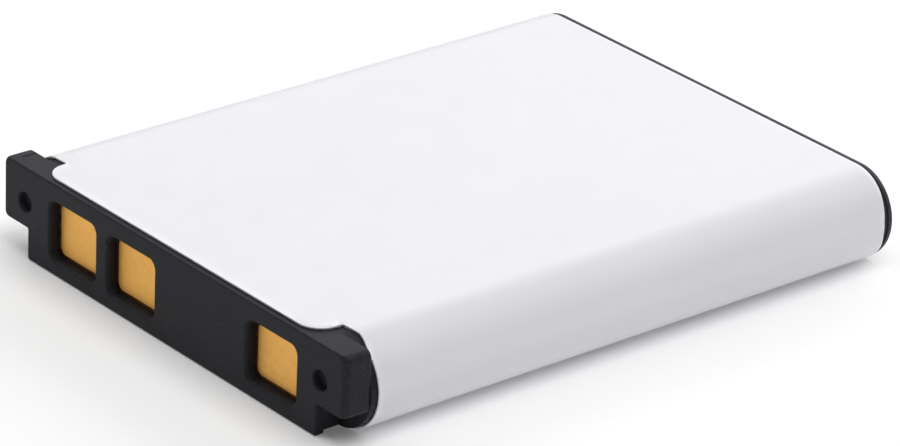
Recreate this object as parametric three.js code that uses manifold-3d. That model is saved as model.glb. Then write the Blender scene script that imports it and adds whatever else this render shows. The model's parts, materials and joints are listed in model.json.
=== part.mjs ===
// Flat rechargeable battery pack for a compact camera.
// A prismatic lithium-ion cell in a drawn aluminium can stands behind a moulded
// contact header that holds the protection board. A plastic cap closes the far
// end, and one printed film label is wrapped round the whole pack.
//
// Millimetres. +X across the pack, +Y from the contacts to the end cap, +Z up.
// The origin is the centre of the footprint, on the face the pack lies on.
import * as THREE from "three";
import { mergeVertices } from "three/addons/utils/BufferGeometryUtils.js";
import Module from "manifold-3d";

const wasm = await Module();
wasm.setup();

// ------------------------------------------------------------ dimensions
const WIDTH = 31.5; // across the label
const LENGTH = 39.5; // contact face to end cap
const THICK = 5.7; // over the label
const MID = THICK / 2; // height of the pack's middle plane

const FILM = 0.12; // label film
const LABEL_HW = WIDTH / 2; // half width outside the label
const LABEL_R = THICK / 2; // the sides are fully rounded
const SHELL_HW = 15.6; // half width of the can and the header's neck
const SHELL_R = 2.7;
const ARC_STEPS = 16; // facets on each rounded side

const FACE_HW = 15.5; // header face, over the two ears
const KEY_HW = 13.1; // header face below the ears
const KEY_Z = 1.92; // underside of the ears
const FACE_TOP = 5.53;
const EAR_DEPTH = 1.75;
const EAR_FRONT_R = 0.38; // upright edges of the ears
const EAR_BACK_R = 0.25;
const LIP_DEPTH = 0.58; // lip under the face that the label butts against
const UNDER_Z = 0.26; // underside of the header behind the lip
const HEADER_END = 4.14;
const WALL_FRONT = 0.62;
const CAVITY_HW = 12.5;
const CAVITY_Z = [0.8, 4.9];

const FACE_EDGE = 0.06; // broken edge round the contact face
const WINDOW_W = 4.2;
const WINDOW_H = 3.5;
const WINDOW_R = 0.5;
const WINDOW_Z = 2.7;
const WINDOW_EDGE = 0.16; // broken edge round each window
const WINDOW_X = { positive: -8.85, sense: -3.41, negative: 9.15 };
const PAD_FACE = 0.63; // how deep the contacts lie behind the face
const PAD_W = 3.8;
const PAD_H = 3.1;
const PAD_R = 0.42;
const PAD_FOOT = 0.7;

const HOLE_X = 13.35; // blind locating holes in the ears
const HOLE_Z = 3.4;
const HOLE_R = 0.6;
const HOLE_DEPTH = 0.45;

const TONGUE_HW = 12.3; // label tongues over and under the header
const TONGUE_R = 1.4;
const TONGUE_TOP = 0.42;
const TONGUE_UNDER = 0.64;
const WRAP_START = 2.12; // where the label closes round the sides
// The label's shoulders on top, out from each tongue corner: [x, depth].
const SHOULDER_RIGHT = [
  [12.3, 2.27],
  [13.05, 2.33],
  [13.6, 2.42],
  [14.0, 2.34],
  [14.5, 2.2],
  [15.1, 2.13],
];
const SHOULDER_LEFT = [
  [12.3, 2.09],
  [13.0, 2.04],
  [13.5, 2.09],
  [14.0, 2.2],
  [14.6, 2.16],
  [15.1, 2.12],
];
const LABEL_END = 39.1;
const LABEL_END_SIDE = 38.85;

const BOARD = [0.8, 1.4]; // protection board, front and back
const LID = [4.3, 5.1];
const CAN_END = 38.6;
const CAN_WALL = 0.3;
const CAP = [38.65, 39.13, 39.5]; // plug, flange and back of the end cap

// ------------------------------------------------------------ helpers
const Y = (depth) => depth - LENGTH / 2; // depth behind the contact face
const V = (x, y) => new THREE.Vector2(x, y);

// A closed outline with each corner [x, y, radius] rounded.
function outline(corners, steps = 4) {
  const n = corners.length,
    pts = [];
  corners.forEach(([x, y, r = 0], i) => {
    if (!r) return pts.push(V(x, y));
    const p = V(x, y);
    const a = V(...corners[(i + n - 1) % n]).sub(p).normalize();
    const b = V(...corners[(i + 1) % n]).sub(p).normalize();
    const half = Math.acos(THREE.MathUtils.clamp(a.dot(b), -1, 1)) / 2;
    const centre = p.clone().add(
      a.clone().add(b).normalize().multiplyScalar(r / Math.sin(half)),
    );
    const from = p.clone().addScaledVector(a, r / Math.tan(half)).sub(centre);
    const to = p.clone().addScaledVector(b, r / Math.tan(half)).sub(centre);
    let turn = to.angle() - from.angle();
    if (turn > Math.PI) turn -= 2 * Math.PI;
    if (turn < -Math.PI) turn += 2 * Math.PI;
    for (let k = 0; k <= steps; k++) {
      const t = from.angle() + (turn * k) / steps;
      pts.push(V(centre.x + r * Math.cos(t), centre.y + r * Math.sin(t)));
    }
  });
  return pts;
}
const roundRect = (cx, cz, w, h, r, steps = 4) =>
  outline(
    [
      [cx - w / 2, cz - h / 2, r],
      [cx + w / 2, cz - h / 2, r],
      [cx + w / 2, cz + h / 2, r],
      [cx - w / 2, cz + h / 2, r],
    ],
    steps,
  );
// A flat bar with fully rounded sides, centred on the middle plane.
function stadium(hw, r, steps = ARC_STEPS) {
  const pts = [];
  for (const side of [1, -1])
    for (let k = 0; k <= steps; k++) {
      const t = (side > 0 ? -Math.PI / 2 : Math.PI / 2) + (Math.PI * k) / steps;
      pts.push(V(side * (hw - r) + r * Math.cos(t), MID + r * Math.sin(t)));
    }
  return pts;
}

// three.js geometry to a manifold solid, with its vertices merged.
function solid(geometry) {
  const g = geometry.index ? geometry.toNonIndexed() : geometry.clone();
  g.deleteAttribute("normal");
  g.deleteAttribute("uv");
  const m = mergeVertices(g, 1e-4);
  let tri = [];
  const ix = m.index.array;
  for (let i = 0; i < ix.length; i += 3)
    if (ix[i] !== ix[i + 1] && ix[i + 1] !== ix[i + 2] && ix[i] !== ix[i + 2])
      tri.push(ix[i], ix[i + 1], ix[i + 2]);
  const make = (t) =>
    new wasm.Manifold(
      new wasm.Mesh({
        numProp: 3,
        vertProperties: m.attributes.position.array,
        triVerts: new Uint32Array(t),
      }),
    );
  const s = make(tri);
  if (s.volume() > 0) return s;
  for (let i = 0; i < tri.length; i += 3)
    [tri[i + 1], tri[i + 2]] = [tri[i + 2], tri[i + 1]];
  return make(tri);
}
// An outline in X and Z, pushed along Y between two depths.
function prismY(pts, d0, d1, bevel = 0, bevelSteps = 1) {
  const g = new THREE.ExtrudeGeometry(new THREE.Shape(pts), {
    depth: d1 - d0 - 2 * bevel,
    steps: 1,
    bevelEnabled: bevel > 0,
    bevelThickness: bevel,
    bevelSize: bevel,
    bevelOffset: -bevel,
    bevelSegments: bevelSteps,
  });
  g.rotateX(Math.PI / 2);
  g.translate(0, Y(d1) - bevel, 0);
  return solid(g);
}
// An outline in X and depth, raised along Z.
function prismZ(pts, z0, z1) {
  const g = new THREE.ExtrudeGeometry(
    new THREE.Shape(pts.map((p) => V(p.x, Y(p.y)))),
    { depth: z1 - z0, steps: 1, bevelEnabled: false },
  );
  g.translate(0, 0, z0);
  return solid(g);
}
function box(x0, x1, d0, d1, z0, z1) {
  const g = new THREE.BoxGeometry(x1 - x0, d1 - d0, z1 - z0);
  g.translate((x0 + x1) / 2, Y((d0 + d1) / 2), (z0 + z1) / 2);
  return solid(g);
}
// A turned piece about an axis along Y. Points are [radius, depth].
function turned(points, x = 0, z = MID, steps = 28) {
  const g = new THREE.LatheGeometry(
    points.map(([r, d]) => V(r, Y(d))),
    steps,
  );
  g.translate(x, 0, z);
  return solid(g);
}
// A flat strip of sheet bent along a path in X and depth.
function strip(path, thick, z0, z1) {
  const left = [],
    right = [];
  path.forEach(([x, d], i) => {
    const p = V(x, d);
    const before = i ? p.clone().sub(V(...path[i - 1])).normalize() : null;
    const after =
      i < path.length - 1
        ? V(...path[i + 1]).sub(p).normalize()
        : null;
    const t = (before || after).clone().add(after || before).normalize();
    const along = before || after;
    const stretch = 1 / Math.max(0.5, t.dot(along));
    const n = V(-t.y, t.x).multiplyScalar((thick / 2) * stretch);
    left.push(p.clone().add(n));
    right.push(p.clone().sub(n));
  });
  return prismZ([...left, ...right.reverse()], z0, z1);
}
// Rounds the bends of a strip's path.
function bent(path, r, steps = 4) {
  const pts = [];
  path.forEach(([x, y], i) => {
    if (!i || i === path.length - 1) return pts.push([x, y]);
    const p = V(x, y);
    const a = V(...path[i - 1]).sub(p).normalize();
    const b = V(...path[i + 1]).sub(p).normalize();
    const half = Math.acos(THREE.MathUtils.clamp(a.dot(b), -1, 1)) / 2;
    const c = p.clone().add(
      a.clone().add(b).normalize().multiplyScalar(r / Math.sin(half)),
    );
    const from = p.clone().addScaledVector(a, r / Math.tan(half)).sub(c);
    const to = p.clone().addScaledVector(b, r / Math.tan(half)).sub(c);
    let turn = to.angle() - from.angle();
    if (turn > Math.PI) turn -= 2 * Math.PI;
    if (turn < -Math.PI) turn += 2 * Math.PI;
    for (let k = 0; k <= steps; k++) {
      const t = from.angle() + (turn * k) / steps;
      pts.push([c.x + r * Math.cos(t), c.y + r * Math.sin(t)]);
    }
  });
  return pts;
}

const group = new THREE.Group();
const material = (color, roughness, metalness = 0) =>
  new THREE.MeshStandardMaterial({ color, roughness, metalness });
const MATERIALS = {
  label: material(0xeff0f5, 0.32),
  black: material(0x2b2c30, 0.62),
  gold: material(0xd9a456, 0.35, 0.9),
  board: material(0x2b1d14, 0.5),
  epoxy: material(0x191a1c, 0.55),
  ceramic: material(0x9a7b57, 0.5),
  resistor: material(0x202124, 0.4),
  nickel: material(0xb9b6ad, 0.35, 0.95),
  solder: material(0xc6c8cc, 0.25, 0.95),
  aluminium: material(0xc9cbce, 0.38, 0.95),
  paper: material(0xd9cfae, 0.85),
  adhesive: material(0xf0ead6, 0.6),
  insulator: material(0xe9ecef, 0.4),
  anode: material(0x33343a, 0.75),
  cathode: material(0x54565c, 0.7),
  separator: material(0xf4f5f6, 0.5),
  tape: material(0xd2a53a, 0.4),
  cutoff: material(0x3b3d42, 0.5),
};
function add(name, shape, look) {
  const mesh = shape.getMesh();
  const n = mesh.numProp,
    v = new Float32Array(mesh.numVert * 3);
  for (let i = 0; i < mesh.numVert; i++)
    v.set(mesh.vertProperties.subarray(i * n, i * n + 3), i * 3);
  const g = new THREE.BufferGeometry();
  g.setAttribute("position", new THREE.BufferAttribute(v, 3));
  g.setIndex(new THREE.BufferAttribute(mesh.triVerts, 1));
  g.computeVertexNormals();
  const made = new THREE.Mesh(g, MATERIALS[look]);
  made.name = name;
  group.add(made);
}

// ------------------------------------------------------------ label
// One strip of film. It starts under the lap on the left side's lower curve,
// runs under the pack, up the right side, back over the top and down the left
// side, and its end laps over its start.
{
  const cx = LABEL_HW - LABEL_R,
    inner = [],
    outer = [];
  const put = (x0, angle, lift) => {
    const c = Math.cos(angle),
      s = Math.sin(angle);
    outer.push(V(x0 + (LABEL_R + lift) * c, MID + (LABEL_R + lift) * s));
    inner.push(
      V(x0 + (LABEL_R - FILM + lift) * c, MID + (LABEL_R - FILM + lift) * s),
    );
  };
  const step = Math.PI / ARC_STEPS;
  // left lower curve, from 2 steps under the horizontal down to the underside
  for (let k = 2; k <= 8; k++) put(-cx, Math.PI + step * k, 0);
  for (let k = 0; k <= ARC_STEPS; k++) put(cx, -Math.PI / 2 + step * k, 0);
  for (let k = 0; k <= ARC_STEPS - 8; k++) put(-cx, Math.PI / 2 + step * k, 0);
  // the lap lifts by the film's thickness and lies on the start
  put(-cx, Math.PI + step, 0);
  for (let k = 1.9; k < 6; k++) put(-cx, Math.PI + step * k, FILM + 0.03);
  let label = prismY([...outer, ...inner.reverse()], TONGUE_TOP, LABEL_END);
  // what comes off beside a tongue, back to the shoulder line
  const shoulder = (side, line, front, z0, z1) =>
    prismZ(
      outline(
        [
          [side * TONGUE_HW, front - 2],
          ...line.map(([x, d], i) => [side * x, d, i ? 0 : 0.12]),
          [side * (TONGUE_HW + 6), WRAP_START],
          [side * (TONGUE_HW + 6), front - 2],
        ],
        3,
      ),
      z0,
      z1,
    );
  const plain = [
    [TONGUE_HW, WRAP_START],
    [15, WRAP_START],
  ];
  // the rounding of a tongue's front corner, as the piece to take off
  const corner = (side, front, z0, z1) => {
    const pts = [
      V(side * (TONGUE_HW + 1), front - 1),
      V(side * (TONGUE_HW + 1), front + TONGUE_R),
    ];
    for (let k = 0; k <= 8; k++) {
      const t = ((Math.PI / 2) * k) / 8;
      pts.push(
        V(
          side * (TONGUE_HW - TONGUE_R + TONGUE_R * Math.cos(t)),
          front + TONGUE_R - TONGUE_R * Math.sin(t),
        ),
      );
    }
    pts.push(V(side * (TONGUE_HW - TONGUE_R), front - 1));
    return prismZ(pts, z0, z1);
  };
  for (const side of [1, -1]) {
    label = label
      .subtract(
        shoulder(
          side,
          side > 0 ? SHOULDER_RIGHT : SHOULDER_LEFT,
          TONGUE_TOP,
          MID,
          THICK + 1,
        ),
      )
      .subtract(corner(side, TONGUE_TOP, MID, THICK + 1))
      .subtract(shoulder(side, plain, TONGUE_UNDER, -1, MID + 0.001))
      .subtract(corner(side, TONGUE_UNDER, -1, MID));
    // the far end is cut a little shorter round the sides
    label = label.subtract(
      prismZ(
        [
          V(side * 14.3, LABEL_END + 1),
          V(side * 14.3, LABEL_END),
          V(side * 15.0, LABEL_END - 0.05),
          V(side * 15.4, LABEL_END - 0.14),
          V(side * 15.7, LABEL_END_SIDE),
          V(side * 17, LABEL_END_SIDE),
          V(side * 17, LABEL_END + 1),
        ],
        -1,
        THICK + 1,
      ),
    );
  }
  label = label.subtract(box(-20, 20, -1, TONGUE_UNDER, -1, MID));
  add("label_wrap", label, "label");
}

// ------------------------------------------------------------ contact header
{
  const face = outline([
    [-KEY_HW, 0, 0.25],
    [KEY_HW, 0, 0.25],
    [KEY_HW, KEY_Z, 0.12],
    [FACE_HW, KEY_Z, 0.4],
    [FACE_HW, FACE_TOP, 0.3],
    [-FACE_HW, FACE_TOP, 0.3],
    [-FACE_HW, KEY_Z, 0.4],
    [-KEY_HW, KEY_Z, 0.12],
  ]);
  let header = prismY(face, 0, EAR_DEPTH, FACE_EDGE);
  // round the upright edges of the ears
  header = header.intersect(
    prismZ(
      outline(
        [
          [-FACE_HW, 0, EAR_FRONT_R],
          [FACE_HW, 0, EAR_FRONT_R],
          [FACE_HW, EAR_DEPTH, EAR_BACK_R],
          [-FACE_HW, EAR_DEPTH, EAR_BACK_R],
        ],
        5,
      ),
      -1,
      THICK,
    ),
  );
  header = header.subtract(box(-20, 20, LIP_DEPTH, 3, -1, UNDER_Z));
  header = header.add(prismY(stadium(SHELL_HW, SHELL_R), 1.6, HEADER_END));
  // a short stop rib at the left shoulder of the label
  header = header.add(
    prismY(stadium(SHELL_HW + 0.1, SHELL_R + 0.1), 1.93, 2.04).intersect(
      box(-14.3, -13.35, 1.9, 2.1, 4.9, THICK),
    ),
  );
  // mould witness line on top of the left ear
  header = header.subtract(
    box(-14.64, -14.55, 0.7, 3, FACE_TOP - 0.05, THICK),
  );
  header = header.subtract(
    box(-CAVITY_HW, CAVITY_HW, WALL_FRONT, 5, CAVITY_Z[0], CAVITY_Z[1]),
  );
  for (const side of [-1, 1]) {
    // core-outs behind the ears
    header = header.subtract(
      prismY(roundRect(side * 14.0, MID, 1.6, 2.6, 0.4, 3), 2.4, 5),
    );
    // blind locating hole with a broken edge
    header = header.subtract(
      turned(
        [
          [0, -0.5],
          [HOLE_R + 0.05, -0.5],
          [HOLE_R + 0.05, 0],
          [HOLE_R, 0.05],
          [HOLE_R, HOLE_DEPTH],
          [0, HOLE_DEPTH],
        ],
        side * HOLE_X,
        HOLE_Z,
        28,
      ),
    );
    // hooks that hold the board against the front wall
    header = header
      .add(box(side * 6 - 0.9, side * 6 + 0.9, 1.45, 1.95, 0.6, 1.05))
      .add(box(side * 6 - 0.9, side * 6 + 0.9, 1.45, 1.95, 4.45, 5.1));
  }
  for (const x of Object.values(WINDOW_X)) {
    const shape = roundRect(x, WINDOW_Z, WINDOW_W, WINDOW_H, WINDOW_R, 5);
    header = header.subtract(prismY(shape, -0.5, 1));
    const flare = new THREE.ExtrudeGeometry(new THREE.Shape(shape), {
      depth: 2,
      steps: 1,
      bevelEnabled: true,
      bevelThickness: WINDOW_EDGE,
      bevelSize: WINDOW_EDGE,
      bevelSegments: 1,
    });
    flare.rotateX(Math.PI / 2);
    flare.translate(0, Y(0), 0);
    header = header.subtract(solid(flare));
  }
  add("contact_header", header, "black");
}

// ------------------------------------------------------------ contacts
// Each contact is a stepped plate: a raised face that stands in a window of the
// header's wall with a gap all round, and a wider foot on the board behind it.
for (const [name, x] of Object.entries(WINDOW_X)) {
  const raised = prismY(
    roundRect(x, WINDOW_Z, PAD_W, PAD_H, PAD_R, 6),
    PAD_FACE,
    0.74,
    0.02,
  );
  const foot = prismY(roundRect(x, WINDOW_Z, 4.7, 3.8, 0.4, 3), PAD_FOOT, 0.78);
  add("contact_pad_" + name, raised.add(foot), "gold");
}

// ------------------------------------------------------------ protection board
{
  let board = prismY(roundRect(0, 2.76, 24.6, 3.72, 0.3, 2), ...BOARD);
  // notches for the header's hooks to pass
  for (const x of [-12.3, 12.3])
    board = board.subtract(turned([[0, 0], [0.5, 0], [0.5, 3], [0, 3]], x, 2.76, 16));
  add("protection_board", board, "board");
}
const chip = (name, x, z, w, h, t, look, bevel = 0.08) =>
  add(
    name,
    prismY(roundRect(x, z, w, h, 0.1, 1), BOARD[1] + 0.03, BOARD[1] + 0.03 + t, bevel),
    look,
  );
chip("mosfet_pair", -1.2, 2.76, 3.0, 2.9, 0.8, "epoxy");
chip("protection_ic", 3.3, 2.9, 2.9, 1.6, 0.9, "epoxy");
chip("thermistor", 8.55, 2.76, 0.8, 1.6, 0.55, "resistor", 0.05);
chip("id_resistor", -3.7, 2.76, 0.8, 1.6, 0.45, "resistor", 0.05);
chip("filter_resistor", 7.35, 2.76, 0.8, 1.6, 0.45, "resistor", 0.05);
chip("filter_capacitor", 5.6, 2.9, 0.8, 1.6, 0.6, "ceramic", 0.05);

// ------------------------------------------------------------ connections
const STRIP_Z = [1.75, 3.75];
// welded to the lid, folded forward and back on to the board
add(
  "positive_strip",
  strip(
    bent(
      [
        [7.9, 4.2],
        [11.85, 4.2],
        [11.85, 1.52],
        [9.6, 1.52],
      ],
      0.35,
    ),
    0.15,
    ...STRIP_Z,
  ),
  "nickel",
);
// from the rivet to the thermal cut-off
add(
  "negative_strip",
  strip(
    bent(
      [
        [1.6, 3.42],
        [-2.2, 3.42],
        [-2.9, 3.05],
        [-4.05, 3.05],
      ],
      0.3,
      3,
    ),
    0.15,
    ...STRIP_Z,
  ),
  "nickel",
);
// thermal cut-off: a flat moulded body between the two negative strips
add(
  "thermal_cutoff",
  prismY(roundRect(-6.55, 2.75, 4.4, 2.7, 0.15, 1), 2.62, 3.5, 0.08),
  "cutoff",
);
// from the cut-off back on to the board
add(
  "board_negative_strip",
  strip(
    bent(
      [
        [-9.05, 3.05],
        [-11.85, 3.05],
        [-11.85, 1.52],
        [-9.6, 1.52],
      ],
      0.35,
    ),
    0.15,
    ...STRIP_Z,
  ),
  "nickel",
);
for (const [name, x] of [
  ["solder_joint_positive", 10.3],
  ["solder_joint_negative", -10.3],
])
  add(
    name,
    turned(
      [
        [0, 1.63],
        [0.75, 1.63],
        [0.6, 1.74],
        [0.35, 1.83],
        [0, 1.86],
      ],
      x,
      2.75,
      16,
    ),
    "solder",
  );

// ------------------------------------------------------------ lid insulation
add(
  "lid_paper",
  prismY(roundRect(-6.6, MID, 11.2, 3.8, 0.5, 3), 4.16, 4.27).subtract(
    turned([[0, 3], [2.15, 3], [2.15, 6], [0, 6]], 0, MID, 28),
  ),
  "paper",
);
for (const [name, side] of [
  ["header_adhesive_left", -1],
  ["header_adhesive_right", 1],
])
  add(
    name,
    prismY(roundRect(side * 13.75, MID, 1.9, 3.4, 0.6, 3), 4.17, 4.27),
    "adhesive",
  );

// ------------------------------------------------------------ cell
{
  let can = prismY(stadium(SHELL_HW, SHELL_R), LID[0], CAN_END + 0.35, 0.35, 2);
  // only the closed end keeps its rounded edge
  can = can.intersect(box(-20, 20, LID[0] + 0.36, CAN_END + 1, -2, 8));
  can = can.add(prismY(stadium(SHELL_HW, SHELL_R), LID[0], LID[0] + 1));
  can = can.subtract(box(-20, 20, CAN_END, CAN_END + 2, -2, 8));
  can = can.subtract(
    prismY(
      stadium(SHELL_HW - CAN_WALL, SHELL_R - CAN_WALL),
      0,
      CAN_END - 0.4,
    ),
  );
  add("cell_can", can, "aluminium");

  const gap = 0.03;
  let lid = prismY(
    stadium(SHELL_HW - CAN_WALL - gap, SHELL_R - CAN_WALL - gap),
    LID[0] + 0.02,
    LID[1],
  );
  lid = lid.subtract(turned([[0, 0], [1.2, 0], [1.2, 8], [0, 8]]));
  // fill port, with a seat for its plug
  lid = lid.subtract(
    turned(
      [[0, 4], [0.85, 4], [0.85, 4.55], [0.5, 4.55], [0.5, 8], [0, 8]],
      -8.2,
      MID,
      20,
    ),
  );
  // scored vent
  lid = lid.subtract(
    prismY(roundRect(5.4, MID, 2.6, 1.7, 0.8, 4), 4, 4.6).subtract(
      prismY(roundRect(5.4, MID, 2.2, 1.3, 0.6, 4), 3, 6),
    ),
  );
  add("cell_lid", lid, "aluminium");
  add(
    "fill_plug",
    turned(
      [
        [0, 4.35],
        [0.72, 4.35],
        [0.8, 4.42],
        [0.8, 4.52],
        [0.45, 4.52],
        [0.42, 5.0],
        [0, 5.05],
      ],
      -8.2,
      MID,
      20,
    ),
    "aluminium",
  );
}
// the negative terminal: a rivet through the lid, insulated on both sides
add(
  "terminal_rivet",
  turned([
    [0, 3.52],
    [1.55, 3.52],
    [1.7, 3.6],
    [1.7, 3.94],
    [0.7, 3.94],
    [0.7, 5.66],
    [1.15, 5.66],
    [1.05, 5.86],
    [0.6, 5.93],
    [0, 5.93],
  ]),
  "nickel",
);
add(
  "rivet_gasket",
  turned([
    [0.74, 3.97],
    [2.0, 3.97],
    [2.0, 4.29],
    [1.16, 4.29],
    [1.16, 5.08],
    [0.74, 5.08],
    [0.74, 3.97],
  ]),
  "insulator",
);
const bore = (r, x = 0, z = MID) => turned([[0, 0], [r, 0], [r, 12], [0, 12]], x, z);
add(
  "inner_insulator",
  prismY(roundRect(0, MID, 12, 3.6, 0.5, 3), 5.13, 5.4).subtract(bore(0.74)),
  "insulator",
);
add(
  "collector_plate",
  prismY(roundRect(-1.0, MID, 9, 2.4, 0.3, 2), 5.43, 5.62).subtract(bore(0.74)),
  "nickel",
);
// foil leads from the winding
add(
  "anode_tab",
  strip(
    bent(
      [
        [-2.6, 5.72],
        [-4.9, 5.72],
        [-4.9, 6.35],
        [-3.2, 6.6],
        [-3.2, 7.42],
      ],
      0.2,
      2,
    ),
    0.12,
    1.6,
    4.1,
  ),
  "nickel",
);
add(
  "cathode_tab",
  strip(
    bent(
      [
        [11.6, 5.2],
        [8.4, 5.2],
        [8.4, 6.0],
        [9.4, 6.4],
        [9.4, 7.42],
      ],
      0.2,
      2,
    ),
    0.12,
    1.6,
    4.1,
  ),
  "aluminium",
);
add(
  "top_insulator",
  prismY(stadium(15.05, 2.15, 8), 6.8, 7.05)
    .subtract(box(-3.45, -2.95, 6, 8, 1.4, 4.3))
    .subtract(box(9.15, 9.65, 6, 8, 1.4, 4.3)),
  "insulator",
);
add(
  "bottom_insulator",
  prismY(stadium(15.05, 2.15, 8), 37.98, 38.14),
  "insulator",
);

// ------------------------------------------------------------ winding
// Four sheets wound together on a flat mandrel: separator, anode, separator
// and cathode. The turning angle sets the radius, so neighbours stay parallel.
{
  const STEPS = 8, // facets on each half turn
    PITCH = 0.46,
    CORE = 12.6, // half length of the straight runs
    R0 = 0.12;
  const sheet = (offset, thick, from, to, d0, d1) => {
    const inner = [],
      outer = [];
    for (let k = from; k <= to; k++) {
      // each half turn has STEPS + 1 points, and a straight run between halves
      const half = Math.floor(k / (STEPS + 1)),
        i = k % (STEPS + 1);
      const turn = Math.PI * (half + i / STEPS);
      const r = R0 + offset + (PITCH * turn) / (2 * Math.PI);
      const x0 = half % 2 ? -CORE : CORE;
      const a = turn - Math.PI / 2;
      for (const [list, rr] of [
        [inner, r],
        [outer, r + thick],
      ])
        list.push(V(x0 + rr * Math.cos(a), MID + rr * Math.sin(a)));
    }
    return prismY([...outer, ...inner.reverse()], d0, d1);
  };
  const half = STEPS + 1;
  add("separator_inner", sheet(0, 0.05, 0, 8 * half + 4, 7.45, 37.9), "separator");
  add("anode_sheet", sheet(0.07, 0.14, 4, 8 * half - 1, 7.75, 37.6), "anode");
  add("separator_outer", sheet(0.23, 0.05, 0, 8 * half + 4, 7.45, 37.9), "separator");
  add("cathode_sheet", sheet(0.3, 0.14, 8, 8 * half - 4, 8.05, 37.3), "cathode");
}
add("winding_tape", box(-4, 4, 9, 36.4, 5.04, 5.1), "tape");

// ------------------------------------------------------------ end cap
{
  let cap = prismY(stadium(15.7, 2.8), CAP[1] - 0.6, CAP[2], 0.2, 3);
  cap = cap.intersect(box(-20, 20, CAP[1], 45, -2, 8));
  cap = cap.add(prismY(stadium(SHELL_HW, SHELL_R), CAP[0], CAP[1] + 0.1));
  cap = cap.subtract(prismY(roundRect(0, MID, 22, 2.9, 0.6, 3), 38, CAP[0] + 0.13));
  add("end_cap", cap, "black");
  add(
    "end_cap_adhesive",
    prismY(roundRect(0, MID, 21.6, 2.5, 0.5, 3), CAN_END + 0.02, CAP[0] + 0.11),
    "adhesive",
  );
}

export default group;
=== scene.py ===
import json
import math

import bmesh
import bpy
from mathutils import Matrix, Vector


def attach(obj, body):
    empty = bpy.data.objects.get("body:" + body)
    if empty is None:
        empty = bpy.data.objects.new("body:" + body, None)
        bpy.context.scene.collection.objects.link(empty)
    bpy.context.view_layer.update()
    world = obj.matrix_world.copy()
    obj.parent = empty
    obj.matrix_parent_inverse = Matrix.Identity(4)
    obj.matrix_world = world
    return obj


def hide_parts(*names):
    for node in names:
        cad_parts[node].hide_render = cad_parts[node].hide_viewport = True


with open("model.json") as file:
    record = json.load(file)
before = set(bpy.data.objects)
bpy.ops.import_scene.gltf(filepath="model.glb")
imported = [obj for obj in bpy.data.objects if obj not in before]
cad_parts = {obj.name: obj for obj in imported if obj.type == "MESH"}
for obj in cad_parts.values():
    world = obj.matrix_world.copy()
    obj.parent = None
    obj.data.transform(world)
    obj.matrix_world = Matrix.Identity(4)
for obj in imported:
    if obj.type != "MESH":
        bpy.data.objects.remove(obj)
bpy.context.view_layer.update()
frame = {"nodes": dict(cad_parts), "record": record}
nodes = frame["nodes"]
scene = bpy.context.scene

# ------------------------------------------------------------------ dimensions
# millimetres. Depth is counted from the contact face towards the end cap.
LENGTH, THICK = 39.5, 5.7
MID = THICK / 2
FILM = 0.12
LABEL_HW, LABEL_R = 15.75, 2.85
LABEL_CX = LABEL_HW - LABEL_R
SHELL_HW, SHELL_R = 15.6, 2.7
FACE_HW, KEY_HW, KEY_Z, FACE_TOP = 15.5, 13.1, 1.92, 5.56
EAR_DEPTH, EAR_FRONT_R, EAR_BACK_R, FACE_EDGE = 1.75, 0.38, 0.16, 0.12
LIP_DEPTH, UNDER_Z, HEADER_END = 0.58, 0.26, 4.14
WALL_FRONT, CAVITY_HW, CAVITY_Z = 0.62, 12.5, (0.8, 4.9)
WINDOW_W, WINDOW_H, WINDOW_R, WINDOW_Z, WINDOW_EDGE = 4.22, 3.52, 0.5, 2.69, 0.25
WINDOW_X = {"positive": -8.85, "sense": -3.41, "negative": 9.15}
PAD_FACE, PAD_W, PAD_H, PAD_R, FOOT = 0.63, 3.8, 3.1, 0.44, 0.7
HOLE_X, HOLE_Z, HOLE_R, HOLE_DEPTH = 13.35, 3.43, 0.58, 0.42
TONGUE_HW, TONGUE_R, TONGUE_TOP, TONGUE_UNDER, WRAP_START = 12.3, 1.4, 0.42, 0.64, 2.12
SHOULDER_RIGHT = [(12.3, 2.27), (13.05, 2.33), (13.6, 2.42), (14.0, 2.34), (14.5, 2.2), (15.1, 2.13)]
SHOULDER_LEFT = [(12.3, 2.09), (13.0, 2.04), (13.5, 2.09), (14.0, 2.2), (14.6, 2.16), (15.1, 2.12)]
LABEL_END = [(0, 39.02), (14.0, 39.01), (14.8, 38.97), (15.3, 38.89), (15.6, 38.8), (15.76, 38.74), (16, 38.74)]
LABEL_END_LOW = [(0, 39.1), (14.6, 39.1), (15.3, 39.02), (15.6, 38.89), (15.76, 38.74), (16, 38.74)]
CAP_PLUG, CAP_FLANGE, CAP_BACK = 38.65, 39.13, 39.5


def Y(depth):
    return depth - LENGTH / 2


# ------------------------------------------------------------------ outlines
def outline(corners, steps=10):
    """A closed outline with each corner (x, y, radius) rounded."""
    pts, n = [], len(corners)
    for i, corner in enumerate(corners):
        x, y = corner[0], corner[1]
        r = corner[2] if len(corner) > 2 else 0
        p = Vector((x, y))
        if not r:
            pts.append((x, y))
            continue
        a = (Vector(corners[i - 1][:2]) - p).normalized()
        b = (Vector(corners[(i + 1) % n][:2]) - p).normalized()
        half = math.acos(max(-1, min(1, a.dot(b)))) / 2
        c = p + (a + b).normalized() * (r / math.sin(half))
        f = p + a * (r / math.tan(half)) - c
        t = p + b * (r / math.tan(half)) - c
        t0 = math.atan2(f.y, f.x)
        turn = math.atan2(t.y, t.x) - t0
        turn = (turn + math.pi) % (2 * math.pi) - math.pi
        for k in range(steps + 1):
            q = t0 + turn * k / steps
            pts.append((c.x + r * math.cos(q), c.y + r * math.sin(q)))
    return pts


def round_rect(cx, cz, w, h, r, steps=10):
    return outline(
        [
            (cx - w / 2, cz - h / 2, r),
            (cx + w / 2, cz - h / 2, r),
            (cx + w / 2, cz + h / 2, r),
            (cx - w / 2, cz + h / 2, r),
        ],
        steps,
    )


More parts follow.
